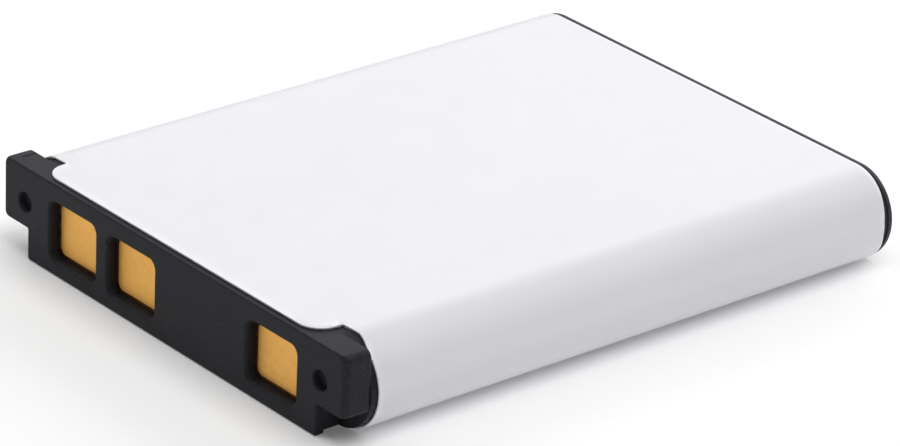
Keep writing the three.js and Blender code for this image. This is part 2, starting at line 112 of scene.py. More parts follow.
def stadium(hw, r, steps=48):
    pts = []
    for side in (1, -1):
        for k in range(steps + 1):
            t = (-math.pi / 2 if side > 0 else math.pi / 2) + math.pi * k / steps
            pts.append((side * (hw - r) + r * math.cos(t), MID + r * math.sin(t)))
    return pts


def area(pts):
    return 0.5 * sum(
        pts[i - 1][0] * pts[i][1] - pts[i][0] * pts[i - 1][1] for i in range(len(pts))
    )


def inset(pts, d):
    """Moves a closed outline inwards by d."""
    if abs(d) < 1e-9:
        return list(pts)
    sign = 1 if area(pts) > 0 else -1
    out, n = [], len(pts)
    for i in range(n):
        p = Vector(pts[i])
        a, b = p - Vector(pts[i - 1]), Vector(pts[(i + 1) % n]) - p
        a.normalize(), b.normalize()
        na, nb = Vector((-a.y, a.x)) * sign, Vector((-b.y, b.x)) * sign
        m = (na + nb).normalized()
        out.append(tuple(p + m * (d / max(0.3, m.dot(na)))))
    return out


# ------------------------------------------------------------------ solids
def from_bmesh(bm, name="tmp"):
    bmesh.ops.recalc_face_normals(bm, faces=bm.faces)
    me = bpy.data.meshes.new(name)
    bm.to_mesh(me)
    bm.free()
    ob = bpy.data.objects.new(name, me)
    scene.collection.objects.link(ob)
    return ob


def loft(rings):
    """A closed solid through rings of equal length; the first and last are capped."""
    bm = bmesh.new()
    made = [[bm.verts.new(p) for p in ring] for ring in rings]
    n = len(rings[0])
    for a, b in zip(made, made[1:]):
        for i in range(n):
            bm.faces.new((a[i], a[(i + 1) % n], b[(i + 1) % n], b[i]))
    bm.faces.new(made[0])
    bm.faces.new(made[-1])
    return from_bmesh(bm)


def edge_profile(d0, d1, front=0.0, back=0.0, steps=3):
    """(inset, depth) pairs of a slab whose two faces have rounded edges."""
    out = []
    if front:
        for k in range(steps + 1):
            t = math.pi / 2 * k / steps
            out.append((front * (1 - math.sin(t)), d0 + front * (1 - math.cos(t))))
    else:
        out.append((0, d0))
    if back:
        for k in range(steps + 1):
            t = math.pi / 2 * k / steps
            out.append((back * (1 - math.cos(t)), d1 - back * (1 - math.sin(t))))
    else:
        out.append((0, d1))
    return out


def prism_y(pts, d0, d1, front=0.0, back=0.0, steps=3):
    return loft(
        [
            [(x, Y(d), z) for x, z in inset(pts, i)]
            for i, d in edge_profile(d0, d1, front, back, steps)
        ]
    )


def prism_z(pts, z0, z1, low=0.0, high=0.0, steps=3):
    return loft(
        [
            [(x, Y(d), z) for x, d in inset(pts, i)]
            for i, z in edge_profile(z0, z1, low, high, steps)
        ]
    )


def funnel(pts, profile):
    """A cutter along Y: the outline grown by offset at each depth of the profile."""
    return loft([[(x, Y(d), z) for x, z in inset(pts, -o)] for o, d in profile])


def box(x0, x1, d0, d1, z0, z1):
    return prism_z([(x0, d0), (x1, d0), (x1, d1), (x0, d1)], z0, z1)


def turned(points, x=0.0, z=MID, steps=64):
    """A turned piece about an axis along Y. Points are (radius, depth)."""
    bm = bmesh.new()
    rings = []
    for r, d in points:
        if r < 1e-6:
            rings.append([bm.verts.new((x, Y(d), z))])
        else:
            rings.append(
                [
                    bm.verts.new(
                        (
                            x + r * math.cos(2 * math.pi * k / steps),
                            Y(d),
                            z + r * math.sin(2 * math.pi * k / steps),
                        )
                    )
                    for k in range(steps)
                ]
            )
    closed = points[0][0] > 1e-6
    pairs = list(zip(rings, rings[1:])) + ([(rings[-1], rings[0])] if closed else [])
    for a, b in pairs:
        for k in range(steps):
            j = (k + 1) % steps
            f = [a[k % len(a)], a[j % len(a)], b[j % len(b)], b[k % len(b)]]
            f = [v for i, v in enumerate(f) if v not in f[:i]]
            if len(f) > 2:
                bm.faces.new(f)
    return from_bmesh(bm)


def applied(ob):
    """The object's mesh with its modifiers in it."""
    bpy.context.view_layer.update()
    dg = bpy.context.evaluated_depsgraph_get()
    me = bpy.data.meshes.new_from_object(ob.evaluated_get(dg))
    ob.modifiers.clear()
    old = ob.data
    ob.data = me
    bpy.data.meshes.remove(old)
    return ob


def join(a, b, how="DIFFERENCE", solver="MANIFOLD"):
    m = a.modifiers.new("cut", "BOOLEAN")
    m.operation, m.object, m.solver = how, b, solver
    applied(a)
    bpy.data.objects.remove(b)
    return a


def tidy(ob, merge=0.002, flat=0.5):
    """Merges doubled points and dissolves flat seams left by the cuts."""
    bm = bmesh.new()
    bm.from_mesh(ob.data)
    bmesh.ops.remove_doubles(bm, verts=bm.verts, dist=merge)
    bmesh.ops.dissolve_limit(
        bm,
        angle_limit=math.radians(flat),
        verts=bm.verts,
        edges=bm.edges,
        use_dissolve_boundaries=False,
    )
    bm.to_mesh(ob.data)
    bm.free()
    return ob


def soften(ob, width=0.04, segments=2, angle=32, clamp=False):
    m = ob.modifiers.new("edge", "BEVEL")
    m.width, m.segments, m.limit_method = width, segments, "ANGLE"
    m.angle_limit = math.radians(angle)
    m.use_clamp_overlap = clamp
    m.miter_outer = "MITER_ARC"
    m.harden_normals = False
    return applied(ob)


def shade(ob, angle=40):
    """Smooth shading, with edges sharper than the angle kept crisp."""
    me = ob.data
    for p in me.polygons:
        p.use_smooth = True
    bm = bmesh.new()
    bm.from_mesh(me)
    limit = math.radians(angle)
    for e in bm.edges:
        e.smooth = not (len(e.link_faces) == 2 and e.calc_face_angle(0) > limit)
    bm.to_mesh(me)
    bm.free()
    return ob


def weighted(ob):
    m = ob.modifiers.new("weighted", "WEIGHTED_NORMAL")
    m.keep_sharp, m.weight = True, 60
    return ob


def finish_piece(ob, name, stands_for, material):
    """Millimetres to metres, named, dressed, and riding on the pack."""
    ob.data.transform(Matrix.Scale(0.001, 4))
    ob.name = name
    ob.data.name = name
    ob.data.materials.clear()
    ob.data.materials.append(material)
    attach(ob, "root")
    if stands_for:
        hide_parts(stands_for)
    return ob


# ------------------------------------------------------------------ materials
class Nodes:
    def __init__(self, name):
        self.m = bpy.data.materials.new(name)
        self.m.use_nodes = True
        self.t = self.m.node_tree
        self.t.nodes.clear()
        self.out = self.t.nodes.new("ShaderNodeOutputMaterial")
        self.p = self.t.nodes.new("ShaderNodeBsdfPrincipled")
        self.t.links.new(self.p.outputs[0], self.out.inputs[0])
        self.co = self.t.nodes.new("ShaderNodeTexCoord").outputs["Object"]

    def add(self, kind, **values):
        n = self.t.nodes.new(kind)
        for k, v in values.items():
            setattr(n, k, v)
        return n

    def link(self, a, b):
        self.t.links.new(a, b)

    def scaled(self, x=1.0, y=1.0, z=1.0):
        n = self.add("ShaderNodeMapping")
        self.link(self.co, n.inputs["Vector"])
        n.inputs["Scale"].default_value = (x, y, z)
        return n.outputs[0]

    def noise(self, size_mm, detail=3.0, rough=0.55, co=None, distortion=0.0):
        """Noise whose features are about size_mm across."""
        n = self.add("ShaderNodeTexNoise")
        self.link(co or self.co, n.inputs["Vector"])
        n.inputs["Scale"].default_value = 1000.0 / size_mm
        n.inputs["Detail"].default_value = detail
        n.inputs["Roughness"].default_value = rough
        n.inputs["Distortion"].default_value = distortion
        return n.outputs["Fac"]

    def cells(self, size_mm, feature="F1", co=None, randomness=1.0):
        n = self.add("ShaderNodeTexVoronoi", feature=feature)
        self.link(co or self.co, n.inputs["Vector"])
        n.inputs["Scale"].default_value = 1000.0 / size_mm
        n.inputs["Randomness"].default_value = randomness
        return n

    def remap(self, value, a, b, c=0.0, d=1.0, clamp=True):
        n = self.add("ShaderNodeMapRange", clamp=clamp)
        self.link(value, n.inputs["Value"])
        for k, v in zip(("From Min", "From Max", "To Min", "To Max"), (a, b, c, d)):
            n.inputs[k].default_value = v
        return n.outputs[0]

    def math(self, how, a, b=0.0, clamp=False):
        n = self.add("ShaderNodeMath", operation=how, use_clamp=clamp)
        for i, v in enumerate((a, b)):
            if isinstance(v, (int, float)):
                n.inputs[i].default_value = v
            else:
                self.link(v, n.inputs[i])
        return n.outputs[0]

    def mix(self, fac, a, b):
        n = self.add("ShaderNodeMix", data_type="RGBA")
        if isinstance(fac, (int, float)):
            n.inputs[0].default_value = fac
        else:
            self.link(fac, n.inputs[0])
        for i, v in ((6, a), (7, b)):
            if isinstance(v, tuple):
                n.inputs[i].default_value = (*v, 1.0)
            else:
                self.link(v, n.inputs[i])
        return n.outputs[2]

    def bump(self, height, distance_mm, strength=1.0, after=None):
        n = self.add("ShaderNodeBump")
        n.inputs["Strength"].default_value = strength
        n.inputs["Distance"].default_value = distance_mm * 0.001
        self.link(height, n.inputs["Height"])
        if after is not None:
            self.link(after, n.inputs["Normal"])
        return n.outputs[0]

    def attribute(self, name):
        n = self.add("ShaderNodeAttribute", attribute_name=name)
        n.attribute_type = "GEOMETRY"
        return n.outputs["Fac"]

    def set(self, **values):
        names = {
            "color": "Base Color",
            "rough": "Roughness",
            "metal": "Metallic",
            "spec": "Specular IOR Level",
            "ior": "IOR",
            "normal": "Normal",
            "coat": "Coat Weight",
            "coat_rough": "Coat Roughness",
            "sss": "Subsurface Weight",
            "aniso": "Anisotropic",
            "sheen": "Sheen Weight",
            "spec_tint": "Specular Tint",
            "emit": "Emission Color",
            "emit_power": "Emission Strength",
        }
        for k, v in values.items():
            s = self.p.inputs[names[k]]
            if isinstance(v, tuple):
                s.default_value = (*v, 1.0)
            elif isinstance(v, (int, float)):
                s.default_value = v
            else:
                self.link(v, s)
        return self


def label_film():
    n = Nodes("label_film")
    broad = n.noise(9.0, 2.0)
    fine = n.noise(0.16, 2.0, 0.6)
    tint = n.mix(n.remap(broad, 0.35, 0.65), (0.768, 0.762, 0.807), (0.784, 0.778, 0.82))
    tint = n.mix(n.remap(fine, 0.3, 0.7, 0.0, 0.35), tint, (0.748, 0.742, 0.79))
    # painted highlight: the film's colour is made a shade whiter along the cut edge
    tint = n.mix(n.remap(n.attribute("cut_edge"), 0.0, 1.0, 0.0, 0.9), tint, (0.86, 0.865, 0.885))
    rough = n.remap(n.noise(1.8, 4.0), 0.3, 0.7, 0.3, 0.4)
    peel = n.bump(n.noise(0.55, 2.0, 0.4), 0.0016, 0.5)
    n.set(color=tint, rough=rough, spec=0.45, normal=n.bump(fine, 0.0008, 0.35, peel))
    return n.m


def black_plastic(name="black_plastic", lift=1.0, spec=0.155):
    n = Nodes(name)
    shade = lambda *c: tuple(v * lift for v in c)
    broad = n.noise(3.2, 3.0)
    grain = n.noise(0.13, 3.0, 0.62)
    pits = n.cells(0.19)
    tint = n.mix(n.remap(broad, 0.3, 0.7), shade(0.0125, 0.0126, 0.015), shade(0.0175, 0.0177, 0.0205))
    tint = n.mix(n.remap(grain, 0.42, 0.7, 0.0, 0.7), tint, shade(0.034, 0.0342, 0.038))
    # a few specks of moulding dust
    speck = n.cells(0.62)
    near = n.remap(speck.outputs["Distance"], 0.05, 0.085, 1.0, 0.0)
    pick = n.add("ShaderNodeSeparateColor")
    n.link(speck.outputs["Color"], pick.inputs[0])
    some = n.remap(pick.outputs[0], 0.86, 0.9)
    tint = n.mix(n.math("MULTIPLY", n.math("MULTIPLY", near, some), 0.5), tint, (0.11, 0.12, 0.12))
    # painted highlight: a lighter brown on the stop rib's crown
    tint = n.mix(n.attribute("painted_rib_sheen"), tint, (0.10, 0.082, 0.072))
    rough = n.remap(n.math("ADD", n.math("MULTIPLY", grain, 0.6), n.math("MULTIPLY", broad, 0.4)), 0.35, 0.65, 0.47, 0.62)
    deep = n.bump(n.remap(pits.outputs["Distance"], 0.0, 0.55), 0.006, 0.5)
    n.set(color=tint, rough=rough, spec=spec, spec_tint=(0.86, 0.91, 1.0), normal=n.bump(grain, 0.010, 0.55, deep))
    return n.m


def gold_plate():
    n = Nodes("gold_plate")
    broad = n.noise(1.7, 3.0)
    grain = n.noise(0.09, 2.0, 0.6)
    tint = n.mix(n.remap(broad, 0.3, 0.7), (0.97, 0.54, 0.132), (1.0, 0.57, 0.142))
    tint = n.mix(n.remap(grain, 0.4, 0.75, 0.0, 0.35), tint, (0.90, 0.47, 0.11))
    speck = n.cells(0.5)
    near = n.remap(speck.outputs["Distance"], 0.04, 0.1, 1.0, 0.0)
    pick = n.add("ShaderNodeSeparateColor")
    n.link(speck.outputs["Color"], pick.inputs[0])
    some = n.remap(pick.outputs[1], 0.82, 0.86)
    tint = n.mix(n.math("MULTIPLY", n.math("MULTIPLY", near, some), 0.55), tint, (0.62, 0.29, 0.06))
    # painted highlight: the pad's rim is coloured brighter
    tint = n.mix(n.remap(n.attribute("rim"), 0.0, 1.0, 0.0, 0.8), tint, (1.0, 0.60, 0.19))
    # painted shade: the foot in the gap beside the pad is coloured dark brown
    tint = n.mix(n.attribute("foot"), tint, (0.24, 0.09, 0.03))
    rough = n.remap(n.noise(0.35, 3.0), 0.3, 0.7, 0.46, 0.56)
    mottle = n.noise(0.5, 4.0, 0.65, distortion=0.6)
    tint = n.mix(n.remap(mottle, 0.42, 0.72, 0.0, 0.3), tint, (0.80, 0.40, 0.09))
    n.set(color=tint, metal=0.82, rough=rough, spec=0.5, normal=n.bump(grain, 0.002, 0.4))
    return n.m


def plain(name, dark, light, rough=(0.4, 0.5), metal=0.0, spec=0.5, size=0.3, depth=0.002, stretch=None):
    """Colour mottle, roughness mottle and a fine grain; stretch draws the grain out along one way."""
    n = Nodes(name)
    co = n.scaled(*stretch) if stretch else n.co
    broad = n.noise(size * 9, 3.0)
    grain = n.noise(size, 3.0, 0.6, co)
    tint = n.mix(n.remap(broad, 0.3, 0.7), dark, light)
    tint = n.mix(n.remap(grain, 0.35, 0.75, 0.0, 0.4), tint, tuple(0.5 * (a + b) * 0.85 for a, b in zip(dark, light)))
    n.set(
        color=tint,
        rough=n.remap(n.noise(size * 2, 3.0, 0.6, co), 0.3, 0.7, *rough),
        metal=metal,
        spec=spec,
        normal=n.bump(grain, depth, 0.6),
    )
    return n.m


LABEL, BLACK, GOLD = label_film(), black_plastic(), gold_plate()
CAP_BLACK = black_plastic("cap_plastic", 1.7, 0.28)


# ------------------------------------------------------------------ label
# The film is laid out flat, as it is cut, then wrapped. Its width runs from
# the start under the lap, below the pack, up the right side and over the top.
def label():
    cx, r = LABEL_CX, LABEL_R
    start = math.radians(67.5)  # of arc between the start and the underside
    lap = math.radians(154.0)  # of arc from the top down the left side
    s1 = start * r  # reaches the flat underside at x = -cx
    s2 = s1 + 2 * cx
    s3 = s2 + math.pi * r
    s4 = s3 + 2 * cx
    s5 = s4 + lap * r

    def place(s):
        """(point, outward normal) on the outer face of the film, in X and Z."""
        if s < s1:
            a = -math.pi / 2 - (s1 - s) / r
            c, lift = -cx, 0.0
        elif s < s2:
            return Vector((-cx + s - s1, 0.0)), Vector((0.0, -1.0))
        elif s < s3:
            a = -math.pi / 2 + (s - s2) / r
            c, lift = cx, 0.0
        elif s < s4:
            return Vector((cx - (s - s3), THICK)), Vector((0.0, 1.0))
        else:
            a = math.pi / 2 + (s - s4) / r
            c = -cx
            t = max(0.0, min(1.0, (math.degrees(a) - 185.0) / 16.0))
            lift = (FILM + 0.03) * t * t * (3 - 2 * t)
        n = Vector((math.cos(a), math.sin(a)))
        return Vector((c, MID)) + n * (r + lift), n

    def back(p):
        line = LABEL_END if p.y > MID else LABEL_END_LOW
        x = abs(p.x)
        for (x0, d0), (x1, d1) in zip(line, line[1:]):
            if x <= x1:
                return d0 + (d1 - d0) * (x - x0) / (x1 - x0)
        return line[-1][1]

    def s_top(x):
        if abs(x) <= cx:
            return s3 + (cx - x)
        a = math.acos(min(1.0, (abs(x) - cx) / r))  # above the horizontal
        return s3 - (math.pi / 2 - a) * r if x > 0 else s4 + (math.pi / 2 - a) * r

    def s_under(x):
        return s1 + x + cx

    # the front edge, walked along the strip
    top_r = [(s_top(x), d) for x, d in reversed(SHOULDER_RIGHT)]
    top_l = [(s_top(-x), d) for x, d in SHOULDER_LEFT]
    front = [(0.0, WRAP_START, 0.25)]
    front += [(s_under(-TONGUE_HW) - 0.9, WRAP_START), (s_under(-TONGUE_HW) - 0.35, WRAP_START, 0.0)]
    front += [(s_under(-TONGUE_HW), 2.12, 0.0), (s_under(-TONGUE_HW), TONGUE_UNDER, TONGUE_R - 0.01)]
    front += [(s_under(TONGUE_HW), TONGUE_UNDER, TONGUE_R - 0.01), (s_under(TONGUE_HW), 2.12, 0.0)]
    front += [(s_under(TONGUE_HW) + 0.35, WRAP_START, 0.0), (s_under(TONGUE_HW) + 0.9, WRAP_START)]
    front += [(s3 - 2.2, WRAP_START), (s3 - 1.9, WRAP_START)]
    front += [(p[0], p[1], 0.4 if 0 < i < len(top_r) - 1 else 0.0) for i, p in enumerate(top_r)]
    front[-1] = (*front[-1][:2], 0.12)
    front += [(s_top(TONGUE_HW), TONGUE_TOP, TONGUE_R), (s_top(-TONGUE_HW), TONGUE_TOP, TONGUE_R)]
    front += [(p[0], p[1], 0.4 if 0 < i < len(top_l) - 1 else 0.0) for i, p in enumerate(top_l)]
    front[-len(top_l)] = (*front[-len(top_l)][:2], 0.12)
    front += [(s4 + 2.3, WRAP_START), (s5, WRAP_START, 0.4)]
    ends = []
    steps = 80
    for k in range(steps + 1):
        s = s5 + (0 - s5) * k / steps
        ends.append((s, back(place(s)[0]), 0.4 if k in (0, steps) else 0.0))
    # the outline, leaving out any point closer than 0.012 mm to the last one kept
    flat = outline(front + ends, 14)
    bm = bmesh.new()
    verts = []
    for x, y in flat:
        if not verts or (Vector((x, y)) - verts[-1].co.xy).length > 0.012:
            verts.append(bm.verts.new((x, y, 0)))
    if (verts[0].co - verts[-1].co).length < 0.012:
        bm.verts.remove(verts.pop())
    bm.faces.new(verts)

    def cut(point, normal):
        bmesh.ops.bisect_plane(
            bm,
            geom=bm.verts[:] + bm.edges[:] + bm.faces[:],
            dist=0.0008,
            plane_co=point,
            plane_no=normal,
        )

    columns = [s1, s2, s3, s4]
    for a, b, step in ((0, s1, 0.11), (s1, s2, 1.4), (s2, s3, 0.11), (s3, s4, 1.4), (s4, s5, 0.11)):
        k = max(1, round((b - a) / step))
        columns += [a + (b - a) * i / k for i in range(1, k)]
    for s in sorted(columns):
        cut((s, 0, 0), (1, 0, 0))
    for d in (1.0, 2.0, 2.6, 3.4, 4.6, 6, 7.5, 9, 11, 13, 15, 17, 19, 21, 23, 25, 27, 29, 31, 33, 34.5, 36, 37.2, 38.2, 38.7):
        cut((0, d, 0), (0, 1, 0))
    bmesh.ops.recalc_face_normals(bm, faces=bm.faces)
    bm.faces.ensure_lookup_table()
    if bm.faces[0].normal.z < 0:
        bmesh.ops.reverse_faces(bm, faces=bm.faces)

    # the wrap is a little uneven: it sinks towards the can by up to 0.02 mm
    def sink(s, d):
        side = math.exp(-(((s - s3 + 0.6) / 1.7) ** 2))
        left = math.exp(-(((s - s4 - 0.6) / 1.7) ** 2))
        wave = math.sin(0.61 * d + 0.6) * 0.5 + math.sin(0.23 * d + 2.0) * 0.35 + math.sin(1.17 * d) * 0.15
        slow = math.sin(0.33 * d + 0.41 * s) * math.sin(0.19 * s + 1.3)
        return 0.0098 * (side + left) * (1 + wave) + 0.0022 * (1 + slow)

    # how far each point is from the cut edge, before the film gets its thickness
    edge_segs = [(e.verts[0].co.xy.copy(), e.verts[1].co.xy.copy()) for e in bm.edges if e.is_boundary]

    def to_edge(p):
        best = 9.0
        for a, b in edge_segs:
            ab = b - a
            t = max(0.0, min(1.0, (p - a).dot(ab) / max(1e-12, ab.length_squared)))
            best = min(best, (p - a - ab * t).length)
        return best

    # the cut edge gets a rounded lip
    boundary = [e for e in bm.edges if e.is_boundary]
    lip = 0.03
    chain = {}
    shell = bmesh.new()
    tag = shell.verts.layers.float.new("cut_edge")
    outer, inner = {}, {}
    on_edge = {v for e in boundary for v in e.verts}
    # inward direction at the cut edge, in the flat layout
    pull = {}
    for v in on_edge:
        m = Vector((0, 0))
        for e in v.link_edges:
            if e.is_boundary:
                f = e.link_faces[0]
                d = (e.verts[1].co - e.verts[0].co).xy
                nrm = Vector((-d.y, d.x)).normalized()
                if nrm.dot(f.calc_center_median().xy - e.verts[0].co.xy) < 0:
                    nrm = -nrm
                m += nrm
        pull[v] = m.normalized() if m.length > 1e-6 else Vector((0, 0))

    def put(s, d, depth):
        p, n = place(min(max(s, 0.0), s5))
        q = p - n * (depth + sink(s, d))
        return (q.x, Y(d), q.y)

    for v in bm.verts:
        s, d = v.co.x, v.co.y
        if v in on_edge:
            w = pull[v]
            a = shell.verts.new(put(s + w.x * lip, d + w.y * lip, 0.0))
            b = shell.verts.new(put(s + w.x * lip * 0.29, d + w.y * lip * 0.29, lip * 0.29))
            c = shell.verts.new(put(s, d, lip))
            e = shell.verts.new(put(s, d, FILM - 0.01))
            f = shell.verts.new(put(s + w.x * 0.01, d + w.y * 0.01, FILM))
            a[tag] = b[tag] = c[tag] = e[tag] = f[tag] = 1.0
            outer[v], inner[v] = a, f
            chain[v] = (a, b, c, e, f)
        else:
            a = shell.verts.new(put(s, d, 0.0))
            f = shell.verts.new(put(s, d, FILM))
            # cut_edge fades out over 0.16 mm from the cut edge; it masks the painted highlight along that edge
            near = to_edge(v.co.xy)
            a[tag] = f[tag] = max(0.0, 1.0 - near / 0.16)
            outer[v], inner[v] = a, f
    for f in bm.faces:
        shell.faces.new([outer[v] for v in f.verts])
        shell.faces.new([inner[v] for v in reversed(f.verts)])
    for e in boundary:
        a, b = chain[e.verts[0]], chain[e.verts[1]]
        for i in range(4):
            shell.faces.new((a[i], b[i], b[i + 1], a[i + 1]))
    bm.free()
    return from_bmesh(shell)


ob = label()
for p in ob.data.polygons:
    p.use_smooth = True
shade(ob, 50)
finish_piece(ob, "label_film_wrap", "label_wrap", LABEL)
weighted(ob)


# ------------------------------------------------------------------ contact header
def header():
    def fall(r, t):
        """How far a rounded edge of radius r has fallen away, t short of its face."""
        return r - math.sqrt(max(0.0, r * r - max(0.0, r - t) ** 2)) if r else 0.0

    rings = []
    n = 9
    fronts = [EAR_FRONT_R * (1 - math.cos(math.pi / 2 * k / n)) for k in range(n + 1)]
    fronts += [0.02, 0.05, 0.09]
    backs = [EAR_DEPTH - EAR_BACK_R * (1 - math.sin(math.pi / 2 * k / 6)) for k in range(7)]
    for d in sorted(set(round(v, 4) for v in fronts + backs)):
        ear = fall(EAR_FRONT_R, d) + fall(EAR_BACK_R, EAR_DEPTH - d)
        edge = fall(FACE_EDGE, d) + fall(0.12, EAR_DEPTH - d)
        key = fall(0.12, d)
        ring = outline(
            [
                (-KEY_HW + key, edge, 0.14),
                (KEY_HW - key, edge, 0.14),
                (KEY_HW - key, KEY_Z + edge * 0.5, 0.12),
                (FACE_HW - ear, KEY_Z + edge * 0.5, 0.32),
                (FACE_HW - ear, FACE_TOP - edge, 0.42),
                (-FACE_HW + ear, FACE_TOP - edge, 0.48),
                (-FACE_HW + ear, KEY_Z + edge * 0.5, 0.32),
                (-KEY_HW + key, KEY_Z + edge * 0.5, 0.12),
            ],
            10,
        )
        rings.append([(x, Y(d), z) for x, z in ring])
    h = loft(rings)
    h = join(h, box(-20, 20, LIP_DEPTH, 3, -1, UNDER_Z))
    h = join(h, prism_y(stadium(SHELL_HW, SHELL_R), 1.69, HEADER_END, 0.05, 0.06, 3), "UNION")
    # short stop rib at the left shoulder of the label
    rib = prism_y(stadium(SHELL_HW + 0.1, SHELL_R + 0.1), 1.93, 2.04, 0.03, 0.03, 2)
    rib = join(rib, box(-14.3, -13.35, 1.9, 2.1, 4.9, THICK), "INTERSECT")
    h = join(h, rib, "UNION")
    # mould witness line on top of the left ear
    h = join(h, box(-14.64, -14.55, 0.7, 3, FACE_TOP - 0.05, THICK))
    h = join(h, box(-CAVITY_HW, CAVITY_HW, WALL_FRONT, 5, *CAVITY_Z))
    for side in (-1, 1):
        h = join(h, prism_y(round_rect(side * 14.0, MID, 1.6, 2.6, 0.4, 8), 2.4, 5))
        hole = [(0, -0.5), (HOLE_R + 0.13, -0.5), (HOLE_R + 0.13, 0.0)]
        hole += [(HOLE_R + 0.12 * (1 - math.sin(t)), 0.12 * (1 - math.cos(t))) for t in (0.25, 0.6, 1.0, math.pi / 2)]
        hole += [(HOLE_R - 0.01, HOLE_DEPTH - 0.1), (HOLE_R - 0.04, HOLE_DEPTH - 0.03), (HOLE_R - 0.11, HOLE_DEPTH), (0, HOLE_DEPTH)]
        h = join(h, turned(hole, side * HOLE_X, HOLE_Z, 56))
        for z0, z1 in ((0.6, 1.05), (4.45, 5.1)):
            h = join(h, box(side * 6 - 0.9, side * 6 + 0.9, 1.45, 1.95, z0, z1), "UNION")
    k = WINDOW_EDGE
    for x in WINDOW_X.values():
        shape = round_rect(x, WINDOW_Z, WINDOW_W, WINDOW_H, WINDOW_R, 12)
        # a straight opening with a rounded front edge
        profile = [(k + 0.02, -0.4), (k + 0.02, 0.0), (k * 0.94, 0.0)]
        for i in range(1, 7):
            t = math.pi / 2 * i / 6
            profile.append((k * (1 - math.sin(t)), k * (1 - math.cos(t))))
        profile.append((0.0, 1.0))
        h = join(h, funnel(shape, profile))
    tidy(h, 0.001, 0.4)
    return h


h = header()
# painted highlight: the stop rib's crown is coloured lighter and browner, a painted sheen where it catches the light
painted_rib_sheen = h.data.attributes.new("painted_rib_sheen", "FLOAT", "POINT")
for v, m in zip(h.data.vertices, painted_rib_sheen.data):
    out = math.hypot(v.co.x + SHELL_HW - SHELL_R, v.co.z - MID)
    m.value = 1.0 if v.co.x < -13.2 and v.co.z > 4.8 and Y(1.9) < v.co.y < Y(2.06) and out > SHELL_R + 0.03 else 0.0
shade(h, 38)
finish_piece(h, "header_moulding", "contact_header", BLACK)
weighted(h)


# ------------------------------------------------------------------ contacts
def contact(x):
    """A raised, plated face with a crisp edge, on a wider foot."""
    shape = round_rect(x, WINDOW_Z, PAD_W, PAD_H, PAD_R, 14)
    rings = [(0.5, 0.0), (0.16, 0.0), (0.05, 0.0), (0.022, 0.003), (0.006, 0.012), (0.0, 0.026), (0.0, 0.055), (0.0, 0.1)]
    bm = bmesh.new()
    tag = bm.verts.layers.float.new("rim")
    made = []
    for i, d in rings:
        ring = []
        if i > 0.4:
            flat = [(x + (px - x) * 0.6, WINDOW_Z + (pz - WINDOW_Z) * 0.6) for px, pz in shape]
        else:
            flat = inset(shape, i)
        for px, pz in flat:
            v = bm.verts.new((px, Y(PAD_FACE + d), pz))
            # rim masks the painted highlight along the pad's edge
            v[tag] = 1.0 if i <= 0.055 else 0.0
            ring.append(v)
        made.append(ring)
    n = len(shape)
    for a, b in zip(made, made[1:]):
        for i in range(n):
            bm.faces.new((a[i], a[(i + 1) % n], b[(i + 1) % n], b[i]))
    bm.faces.new(made[0])
    bm.faces.new(made[-1])
    # the foot stops just short of the cavity's floor
    foot = prism_y(round_rect(x, WINDOW_Z + 0.01, 4.7, 3.76, 0.4, 8), FOOT, 0.78, 0.01, 0.01, 2)
    ob = join(from_bmesh(bm), foot, "UNION")
    # painted shade: the foot is coloured dark brown up to the pad's side, where the gap beside the pad lies in shade
    mark = ob.data.attributes.new("foot", "FLOAT", "POINT")
    for v, m in zip(ob.data.vertices, mark.data):
        m.value = 1.0 if v.co.y > Y(FOOT - 0.015) else 0.0
    return ob


for name, x in WINDOW_X.items():
    c = contact(x)
    shade(c, 45)
    finish_piece(c, name + "_contact_plate", "contact_pad_" + name, GOLD)
    weighted(c)


# ------------------------------------------------------------------ end cap
def end_cap():
    cap = prism_y(stadium(15.7, 2.8), CAP_FLANGE, CAP_BACK, 0.03, 0.2, 6)
    cap = join(cap, prism_y(stadium(SHELL_HW, SHELL_R), CAP_PLUG, CAP_FLANGE + 0.1), "UNION")
    cap = join(cap, prism_y(round_rect(0, MID, 22, 2.9, 0.6, 8), 38, CAP_PLUG + 0.13))
    return tidy(cap, 0.001, 0.3)


cap = end_cap()
shade(cap, 42)
finish_piece(cap, "end_cap_moulding", "end_cap", CAP_BLACK)
weighted(cap)

